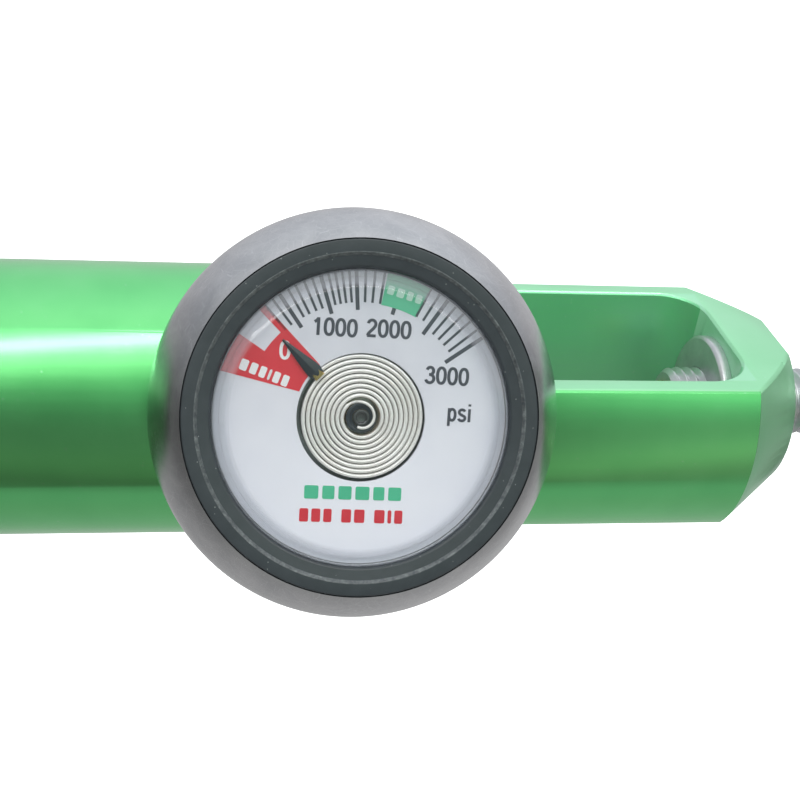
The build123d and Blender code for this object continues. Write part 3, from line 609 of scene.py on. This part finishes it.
def stroke(bm, pts, w, place, h0, h1, closed=False):
    """A flat stroke of even width w along pts, in glyph units."""
    n = len(pts)
    left, right = [], []
    for i in range(n):
        a = Vector(pts[(i - 1) % n] if closed or i else pts[0])
        b = Vector(pts[(i + 1) % n] if closed or i < n - 1 else pts[-1])
        p = Vector(pts[i])
        da, db = p - a, b - p
        da = da.normalized() if da.length > 1e-9 else db.normalized()
        db = db.normalized() if db.length > 1e-9 else da
        m = (da + db).normalized()
        nrm = Vector((-m.y, m.x))
        k = w / 2 / max(0.5, abs(nrm.dot(Vector((-da.y, da.x)))))
        left.append(p + nrm * k)
        right.append(p - nrm * k)
    ring = range(n) if closed else range(n - 1)
    vs = [[bm.verts.new(gp(*place(q), h)) for q in side] for h in (h0, h1) for side in (left, right)]
    ll, lr, ul, ur = vs
    for i in ring:
        j = (i + 1) % n
        bm.faces.new((ul[i], ul[j], ur[j], ur[i]))
        bm.faces.new((ll[i], lr[i], lr[j], ll[j]))
        bm.faces.new((ll[i], ll[j], ul[j], ul[i]))
        bm.faces.new((lr[i], ur[i], ur[j], lr[j]))
    if not closed:
        bm.faces.new((ll[0], ul[0], ur[0], lr[0]))
        bm.faces.new((ll[-1], lr[-1], ur[-1], ul[-1]))


def bow(cx, cy, rx, ry, a0, a1, n=14, p=1.0):
    out = []
    for i in range(n + 1):
        a = math.radians(a0 + (a1 - a0) * i / n)
        c, s = math.cos(a), math.sin(a)
        out.append((cx + rx * math.copysign(abs(c) ** p, c), cy + ry * math.copysign(abs(s) ** p, s)))
    return out


# plain upright figures on a 0.56 x 1 body: list of (points, closed)
GLYPH = {
    "0": (0.60, [(bow(0.26, 0.5, 0.205, 0.435, 0, 360, 40, 0.86)[:-1], True)]),
    "1": (0.60, [([(0.30, 0.0), (0.30, 0.98)], False), ([(0.09, 0.73), (0.20, 0.80), (0.31, 0.94)], False)]),
    "2": (0.60, [(bow(0.265, 0.71, 0.195, 0.225, 172, -28, 16) + [(0.34, 0.46), (0.16, 0.26), (0.085, 0.15), (0.07, 0.065)], False), ([(0.03, 0.062), (0.49, 0.062)], False)]),
    "3": (0.60, [(bow(0.255, 0.73, 0.175, 0.205, 165, -90, 16) + [(0.20, 0.525)], False), ([(0.20, 0.525)] + bow(0.25, 0.295, 0.215, 0.232, 88, -165, 18), False)]),
    "5": (0.60, [([(0.45, 0.935), (0.13, 0.935), (0.085, 0.50)], False), ([(0.085, 0.50)] + bow(0.255, 0.32, 0.215, 0.255, 128, -165, 18), False)]),
    "4": (0.60, [([(0.50, 0.27), (0.05, 0.27), (0.05, 0.30), (0.36, 0.95)], False), ([(0.375, 0.0), (0.375, 0.98)], False)]),
    "6": (0.60, [(bow(0.26, 0.305, 0.195, 0.245, 0, 360, 26)[:-1], True), (bow(0.30, 0.50, 0.235, 0.435, 45, 200, 16), False)]),
    "7": (0.60, [([(0.05, 0.935), (0.47, 0.935)], False), ([(0.45, 0.92), (0.30, 0.62), (0.22, 0.32), (0.20, 0.0)], False)]),
    "8": (0.60, [(bow(0.26, 0.735, 0.165, 0.205, 0, 360, 24)[:-1], True), (bow(0.26, 0.29, 0.20, 0.235, 0, 360, 26)[:-1], True)]),
    ".": (0.26, [([(0.08, 0.0), (0.08, 0.12)], False)]),
    "/": (0.34, [([(0.02, -0.04), (0.28, 1.0)], False)]),
    "p": (0.60, [([(0.11, -0.27), (0.11, 0.72)], False), (bow(0.285, 0.36, 0.175, 0.305, 0, 360, 30, 0.92)[:-1], True)]),
    "s": (0.53, [(bow(0.245, 0.525, 0.165, 0.140, 20, 200, 12) + [(0.12, 0.43)] + [(0.24, 0.36), (0.36, 0.31)] + bow(0.235, 0.205, 0.185, 0.150, 30, -165, 14), False)]),
    "i": (0.25, [([(0.12, 0.0), (0.12, 0.72)], False), ([(0.12, 0.87), (0.12, 0.99)], False)]),
    "L": (0.52, [([(0.11, 0.99), (0.11, 0.055)], False), ([(0.06, 0.06), (0.47, 0.06)], False)]),
}


def numeral(name, text, cu, cv, height, tilt, mat, base=INK1, weight=0.135, stretch=1.0, body="root", where=None, slot="dial_face"):
    """Plain figures made of even strokes, centred on (cu, cv)."""
    width = (sum(GLYPH[ch][0] for ch in text) - 0.08) * height * stretch
    c, s = math.cos(math.radians(tilt)), math.sin(math.radians(tilt))
    bm = bmesh.new()
    x = -width / 2
    for n, ch in enumerate(text):
        adv, strokes = GLYPH[ch]
        for q, (pts, closed) in enumerate(strokes):
            def place(p, x=x):
                px, py = x + p[0] * height * stretch, (p[1] - 0.5) * height
                return (cu + px * c - py * s, cv + px * s + py * c)
            up = 0.002 * ((n * 3 + q) % 4)
            stroke(bm, pts, weight, place, base - 0.02, base + 0.008 + up, closed)
        x += adv * height * stretch
    if where:
        for v in bm.verts:
            v.co = where(v.co)
    return piece(name, to_mesh(name, bm, [mat]), body, slot, smooth=0)


numeral("dial_number_1000", "1000", -3.03, 10.06, 2.0, -3, "ink_dark", weight=0.165, stretch=1.07)
numeral("dial_number_2000", "2000", 2.99, 9.93, 2.0, -3, "ink_dark", weight=0.165, stretch=1.07)
numeral("dial_number_3000", "3000", 9.64, 4.75, 2.0, -3, "ink_dark", weight=0.165, stretch=1.07)
numeral("dial_unit", "psi", 11.05, 0.62, 2.05, -3, "ink_dark", weight=0.155, stretch=1.0)
numeral("dial_number_0", "0", -8.51, 7.46, 2.05, -3, "ink_white", base=INK1 + 0.02, weight=0.165, stretch=1.05)

# ------------------------------------------------------------------ spiral pressure tube, hub and pointer
turns, r_in, r_out = 9.0, 2.02, 6.96
prof = []
for i in range(9):                                  # rounded crest, flat sides
    a = math.pi * i / 8
    prof.append((0.215 * math.cos(a), 0.20 * math.sin(a)))
bm = bmesh.new()
N = int(turns * 72)
prev = None
for i in range(N + 1):
    f = i / N
    a = math.radians(135.6) + math.pi * 2 * turns * (f - 1)
    # each turn sits a touch higher or lower than the next
    lift = 0.05 * math.sin(3.1 * a) + 0.04 * math.sin(1.7 * i / 72)
    r = r_in + (r_out - r_in) * f
    d = (math.cos(a), math.sin(a))
    ring = []
    for x, y in prof + [(-0.215, -2.75), (0.215, -2.75)]:
        rr = r + x
        ring.append(bm.verts.new(gp(rr * d[0], rr * d[1], 35.25 + lift + y)))
    if prev:
        m = len(ring)
        for j in range(m):
            k = (j + 1) % m
            bm.faces.new((prev[j], prev[k], ring[k], ring[j]))
    else:
        bm.faces.new(ring)
    prev = ring
bm.faces.new(prev[::-1])
coil = piece("spiral_pressure_tube", to_mesh("spiral_pressure_tube", bm, ["coil_bronze"]), "root", "coil_bronze", replaces=("bourdon_coil",), smooth=40)

hub = rounded([(0.98, 35.42), (1.72, 35.42), (1.72, 35.62), (1.60, 35.74), (1.34, 35.70), (1.16, 35.54), (0.98, 35.50)], 0.04)
piece("spiral_hub_cap", lathe("spiral_hub_cap", hub, G0, EG, EX, 96), "root", "pointer_black", replaces=("coil_hub_cap",))
post = rounded([(0.0, 35.42), (0.96, 35.42), (0.96, 35.72), (0.86, 35.86), (0.66, 35.86), (0.56, 35.78), (0.50, 35.54), (0.0, 35.50)], 0.04)
piece("socket_post_tip", lathe("socket_post_tip", post, G0, EG, EX, 96), "root", "shaft_steel", mat="post_dark")
# inner tail of the spiral tube, bent in and soldered to the post
bm = bmesh.new()
prev = None
for i in range(41):
    f = i / 40
    a = math.radians(135.6) - math.pi * 2 * turns - math.radians(250) * (1 - f)
    r = 1.08 + (2.02 - 1.08) * f ** 1.4
    dip = min(1.0, max(0.0, (r - 1.72) / 0.28))
    c0 = (r * math.cos(a), r * math.sin(a), 35.92 - 0.62 * dip * dip * (3 - 2 * dip))
    ring = []
    for k in range(10):
        b = 2 * math.pi * k / 10
        rr = r + 0.17 * math.cos(b)
        ring.append(bm.verts.new(gp(rr * math.cos(a), rr * math.sin(a), c0[2] + 0.17 * math.sin(b))))
    if prev:
        for k in range(10):
            bm.faces.new((prev[k], prev[(k + 1) % 10], ring[(k + 1) % 10], ring[k]))
    else:
        bm.faces.new(ring)
    prev = ring
bm.faces.new(prev[::-1])
piece("spiral_tube_tail", to_mesh("spiral_tube_tail", bm, ["coil_bronze"]), "root", "coil_bronze", smooth=60)

pa = math.radians(135.6)
pd, ps = Vector((math.cos(pa), math.sin(pa))), Vector((-math.sin(pa), math.cos(pa)))


def pp(r, w, h):
    q = pd * r + ps * w
    return gp(q.x, q.y, h)


bm = bmesh.new()
stations = [(6.75, 0.72, 0.10), (7.3, 0.86, 0.16), (7.9, 0.85, 0.18), (9.0, 0.66, 0.16), (10.5, 0.40, 0.12), (11.8, 0.20, 0.08), (12.3, 0.11, 0.05)]
prev = None
for r, w, ridge in stations:
    h0 = 35.85
    sec = [pp(r, -w, h0), pp(r, -w, h0 + 0.12), pp(r, 0, h0 + 0.12 + ridge), pp(r, w, h0 + 0.12), pp(r, w, h0)]
    ring = [bm.verts.new(p) for p in sec]
    if prev:
        for j in range(5):
            k = (j + 1) % 5
            bm.faces.new((prev[j], prev[k], ring[k], ring[j]))
    else:
        bm.faces.new(ring[::-1])
    prev = ring
bm.faces.new(prev)
bmesh.ops.recalc_face_normals(bm, faces=bm.faces)
bmesh.ops.bevel(bm, geom=bm.edges[:], offset=0.03 * MM, offset_type="OFFSET", segments=1, affect="EDGES", clamp_overlap=True)
piece("contents_pointer", to_mesh("contents_pointer", bm, ["pointer_black"]), "needle", "pointer_black", replaces=("gauge_pointer",), smooth=0)
# folded brass clip that joins the pointer to the end of the tube
bm = bmesh.new()
sec = [(-0.62, 35.62), (0.62, 35.62), (0.62, 35.95), (0.50, 36.05), (-0.50, 36.05), (-0.62, 35.95)]
lo = [bm.verts.new(pp(6.45, w, h)) for w, h in sec]
hi = [bm.verts.new(pp(7.25, w * 0.92, h)) for w, h in sec]
bm.faces.new(lo)
bm.faces.new(hi[::-1])
for i in range(6):
    j = (i + 1) % 6
    bm.faces.new((lo[i], lo[j], hi[j], hi[i]))
bmesh.ops.recalc_face_normals(bm, faces=bm.faces)
bmesh.ops.bevel(bm, geom=bm.edges[:], offset=0.04 * MM, offset_type="OFFSET", segments=2, affect="EDGES", clamp_overlap=True)
piece("pointer_clip", to_mesh("pointer_clip", bm, ["brass"]), "needle", "pointer_black", mat="brass", smooth=40)

# ------------------------------------------------------------------ clamp screw with its real thread
bm = bmesh.new()
x0, x1, pitch, R, depth = 29.0, 58.6, 1.5, 5.0, 0.78
segs, dx = 72, 0.1
rings = []
nx = int(round((x1 - x0) / dx))


def thread_r(x, ph):
    t = (x / pitch - ph) % 1.0
    # 60 degree flanks with a small flat crest and a rounded root
    tri = abs(t - 0.5) * 2
    z = min(1.0, max(0.0, (tri - 0.10) / 0.78))
    fade = min(1.0, max(0.0, (x - x0) / 1.2)) * min(1.0, max(0.0, (57.6 - x) / 1.6))
    return R - depth * z * fade


for i in range(nx + 1):
    x = x0 + dx * i
    lead = min(R, 4.2 + max(0.0, x - x0))
    rings.append([bm.verts.new(Vector((x, *(lambda r: (r * math.cos(2 * math.pi * k / segs), r * math.sin(2 * math.pi * k / segs)))(min(lead, thread_r(x, k / segs))))) * MM)
                  for k in range(segs)])
for a, b in zip(rings, rings[1:]):
    for k in range(segs):
        j = (k + 1) % segs
        bm.faces.new((a[k], b[k], b[j], a[j]))
# bored nose that holds the swivel point
nose = [bm.verts.new(Vector((x0, 1.55 * math.cos(2 * math.pi * k / segs), 1.55 * math.sin(2 * math.pi * k / segs))) * MM) for k in range(segs)]
deep = [bm.verts.new(Vector((32.2, 1.55 * math.cos(2 * math.pi * k / segs), 1.55 * math.sin(2 * math.pi * k / segs))) * MM) for k in range(segs)]
for a, b in ((nose, rings[0]), (deep, nose)):
    for k in range(segs):
        j = (k + 1) % segs
        bm.faces.new((a[k], b[k], b[j], a[j]))
bm.faces.new(deep)
# plain end inside the blind hub of the handle
last = rings[-1]
for x, r in ((71.6, 4.98), (71.98, 4.6)):
    ring = [bm.verts.new(Vector((x, r * math.cos(2 * math.pi * k / segs), r * math.sin(2 * math.pi * k / segs))) * MM) for k in range(segs)]
    for k in range(segs):
        j = (k + 1) % segs
        bm.faces.new((last[k], ring[k], ring[j], last[j]))
    last = ring
bm.faces.new(last[::-1])
piece("clamp_screw_threaded", to_mesh("clamp_screw_threaded", bm, ["plated_steel"]), "clamp_handle", "plated_steel", replaces=("clamp_screw",), smooth=35)

# ------------------------------------------------------------------ machined and moulded pieces with finished edges
edged("regulator_body", 0.16, 24, 2, name="regulator_body_anodised")
edged("selector_knob", 0.22, 24, 3, name="selector_knob_moulded")
edged("thread_bushing", 0.10, 30, 2, name="thread_bushing_turned")

for n, w in (("t_handle", 0.30), ("knob_screw", 0.10), ("handle_pin", 0.08), ("inlet_nipple", 0.08), ("washer_ring", 0.08), ("index_pins", 0.10), ("clamp_tip", 0.08)):
    edged(n, w, 28, 2)
for n in ("outlet_barb", "relief_body", "relief_cap"):
    edged(n, 0.08, 28, 2, mat="brass_radial")


def coil_spring(name, node, start, axis, radius, wire, height, active):
    """A compression spring with one closed coil at each end: start and axis follow the centreline."""
    axis = Vector(axis).normalized()
    across = axis.orthogonal().normalized()
    side = axis.cross(across)
    closed = 0.8 * wire * 2.04
    turns = active + 1.6
    bm = bmesh.new()
    steps = int(turns * 48)
    prev = None
    for i in range(steps + 1):
        u = turns * i / steps
        if u < 0.8:
            h = closed * u / 0.8
        elif u > turns - 0.8:
            h = height - closed * (turns - u) / 0.8
        else:
            h = closed + (height - 2 * closed) * (u - 0.8) / active
        a = 2 * math.pi * u
        out = across * math.cos(a) + side * math.sin(a)
        c = Vector(start) + axis * h + out * radius
        ring = [bm.verts.new((c + (out * math.cos(b) + axis * math.sin(b)) * wire) * MM) for b in (2 * math.pi * k / 14 for k in range(14))]
        if prev:
            for k in range(14):
                bm.faces.new((prev[k], prev[(k + 1) % 14], ring[(k + 1) % 14], ring[k]))
        else:
            bm.faces.new(ring)
        prev = ring
    bm.faces.new(prev[::-1])
    return piece(name, to_mesh(name, bm, [SLOT[node] if SLOT[node] in MAT else "spring_steel"]), "root", SLOT[node], replaces=(node,), smooth=50)


RELIEF = Vector((0, 0.5, -math.sqrt(3) / 2))
s1 = coil_spring("piston_return_spring", "piston_spring", (-51.4, 0, 0), (1, 0, 0), 8.5, 0.9, 12.0, 2.6)
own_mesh(s1)
s2 = coil_spring("relief_valve_spring", "relief_spring", Vector((-66.5, 0, 0)) + RELIEF * 20.0, RELIEF, 1.9, 0.25, 3.0, 2.4)
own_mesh(s2)
coil_spring("detent_coil_spring", "detent_spring", (-76.2, 10.0, 0), (1, 0, 0), 1.2, 0.2, 3.4, 3.4)

# flow figures printed on the recessed disc of the knob, and the fixed index line on the barrel
def on_disc(theta, r):
    a = math.radians(theta)
    across, up = Vector((0, -1, 0)), Vector((0, 0, 1))
    u = across * math.cos(a) - up * math.sin(a)
    v = across * math.sin(a) + up * math.cos(a)

    def move(co):
        q = Vector(co) / MM - G0
        return (Vector((-95.8, 0, 0)) + v * r + u * q.dot(EX) + v * q.dot(EY) - AX * (q.dot(EG) - 35.6)) * MM
    return move


bm = bmesh.new()
mark = ((-78.2, -0.45), (-75.0, -0.45), (-75.0, 0.45), (-78.2, 0.45))
lo = [bm.verts.new((AX * x + EG * 18.93 + EY * w) * MM) for x, w in mark]
hi = [bm.verts.new((AX * x + EG * 19.03 + EY * w) * MM) for x, w in mark]
bm.faces.new(lo)
bm.faces.new(hi[::-1])
for i in range(4):
    j = (i + 1) % 4
    bm.faces.new((lo[i], lo[j], hi[j], hi[i]))
piece("flow_index_line", to_mesh("flow_index_line", bm, ["ink_white"]), "root", "scale_face", smooth=0)

FLOWS = ["0", "0.5", "1", "1.5", "2", "2.5", "3", "4", "5", "6", "8", "10"]
for i, text in enumerate(FLOWS):
    numeral("flow_number_" + text.replace(".", "_"), text, 0, 0, 1.9, 0, "ink_dark", base=35.62, weight=0.16, body="flow_selector",
            where=on_disc(KNOB_ZERO - 30 * i, 11.3), slot="scale_face")

# ------------------------------------------------------------------ lighting: a soft tent with a broad top light and a dim front
world = bpy.data.worlds.new("studio")
scene.world = world
world.use_nodes = True
t = Tree(world.node_tree)
d = t("TexCoord").outputs["Generated"]
xyz = t("SeparateXYZ", {0: d})
psi = t.math("ARCTAN2", xyz.outputs[2], t.math("MULTIPLY", xyz.outputs[1], -1.0))
pos = t.math("ADD", t.math("DIVIDE", psi, 2 * math.pi), 0.5)
PEAK = 1.5
STOPS = [(-180, (0.60, 0.60, 0.62)), (-150, (0.52, 0.52, 0.53)), (-125, (0.49, 0.49, 0.49)), (-105, (0.42, 0.42, 0.42)), (-85, (0.39, 0.39, 0.39)),
         (-70, (0.36, 0.36, 0.35)), (-60, (0.33, 0.36, 0.35)), (-52, (0.35, 0.40, 0.38)), (-46, (0.20, 0.22, 0.21)), (-40, (0.13, 0.11, 0.10)),
         (-30, (0.12, 0.10, 0.09)), (-20, (0.18, 0.17, 0.14)), (-10, (0.20, 0.19, 0.16)), (0, (0.15, 0.15, 0.14)), (10, (0.13, 0.13, 0.12)),
         (18, (0.12, 0.14, 0.13)), (26, (0.15, 0.20, 0.17)), (34, (0.21, 0.30, 0.25)), (42, (0.33, 0.49, 0.38)), (48, (0.70, 0.90, 0.70)),
         (53, (1.35, 1.35, 1.20)), (60, (1.25, 1.25, 1.20)), (78, (1.00, 1.02, 1.00)), (95, (0.98, 0.98, 0.97)), (105, (1.01, 1.00, 1.02)),
         (118, (0.88, 0.90, 0.94)), (135, (0.76, 0.80, 0.84)), (155, (0.72, 0.75, 0.80)), (180, (0.60, 0.60, 0.62))]
env = t.ramp(pos, [((a + 180) / 360, tuple(x / PEAK for x in e)) for a, e in STOPS])
side = t.math("ABSOLUTE", xyz.outputs[0])
drop = t.math("SUBTRACT", 1.0, t.math("MULTIPLY", t.math("POWER", side, 2.5), 0.78))
low = t.math("DIVIDE", t.math("SUBTRACT", 0.80, t.math("ABSOLUTE", psi)), 0.17, clamp=True)
right = t.math("ADD", 1.08, t.math("MULTIPLY", t.math("MAXIMUM", xyz.outputs[0], 0.0), t.math("ADD", 0.45, t.math("MULTIPLY", low, 3.4))))
bg = t("Background", {"Color": env, "Strength": t.math("MULTIPLY", t.math("MULTIPLY", drop, right), PEAK)})
t("OutputWorld", {0: bg.outputs[0]})


def area(name, loc, aim, size, power):
    l = bpy.data.lights.new(name, "AREA")
    l.shape = "RECTANGLE"
    l.size, l.size_y = size
    l.energy = power
    o = bpy.data.objects.new(name, l)
    scene.collection.objects.link(o)
    o.location = loc
    o.rotation_mode = "QUATERNION"
    o.rotation_quaternion = (Vector(aim) - Vector(loc)).to_track_quat("-Z", "Y")
    return o


strip = area("strip_softbox", (-0.02, -0.255, 0.67), (-0.02, 0, 0), (1.3, 0.095), 2.0)
fill = area("front_fill", (-0.10, -0.62, 0.42), (-0.02, -0.02, 0.01), (0.55, 0.55), 1.5)
fill.visible_glossy = False

# ------------------------------------------------------------------ floor and backdrop
me = bpy.data.meshes.new("floor")
bm = bmesh.new()
rows = []
for i in range(13):
    f = i / 12
    y = -3.0 + 6.0 * f
    rows.append([bm.verts.new((x, y, -0.10)) for x in (-3, -1, 1, 3)])
for a, b in zip(rows, rows[1:]):
    for k in range(3):
        bm.faces.new((a[k], a[k + 1], b[k + 1], b[k]))
bm.to_mesh(me)
bm.free()
m, t = material("pale_floor")
n = t.noise(t.coords((1, 1, 1)), 3.0, 2)
c = t.mix(n, (0.93, 0.93, 0.93), (0.97, 0.97, 0.97))
finish_mat(t, c, 0.9, 0.0, **{"Emission Color": (1, 1, 1, 1), "Emission Strength": 0.75})
me.materials.append(m)
floor = bpy.data.objects.new("floor", me)
scene.collection.objects.link(floor)
floor.visible_glossy = False
floor.visible_diffuse = False

me = bpy.data.meshes.new("backdrop")
bm = bmesh.new()
bmesh.ops.create_icosphere(bm, subdivisions=4, radius=6.0)
bm.to_mesh(me)
bm.free()
m, t = material("backdrop_white")
e = t("Emission", {"Color": (1, 1, 1, 1), "Strength": 1.05})
t("OutputMaterial", {0: e.outputs[0]})
me.materials.append(m)
dome = bpy.data.objects.new("backdrop", me)
scene.collection.objects.link(dome)
for f in ("visible_diffuse", "visible_glossy", "visible_transmission", "visible_volume_scatter", "visible_shadow"):
    setattr(dome, f, False)
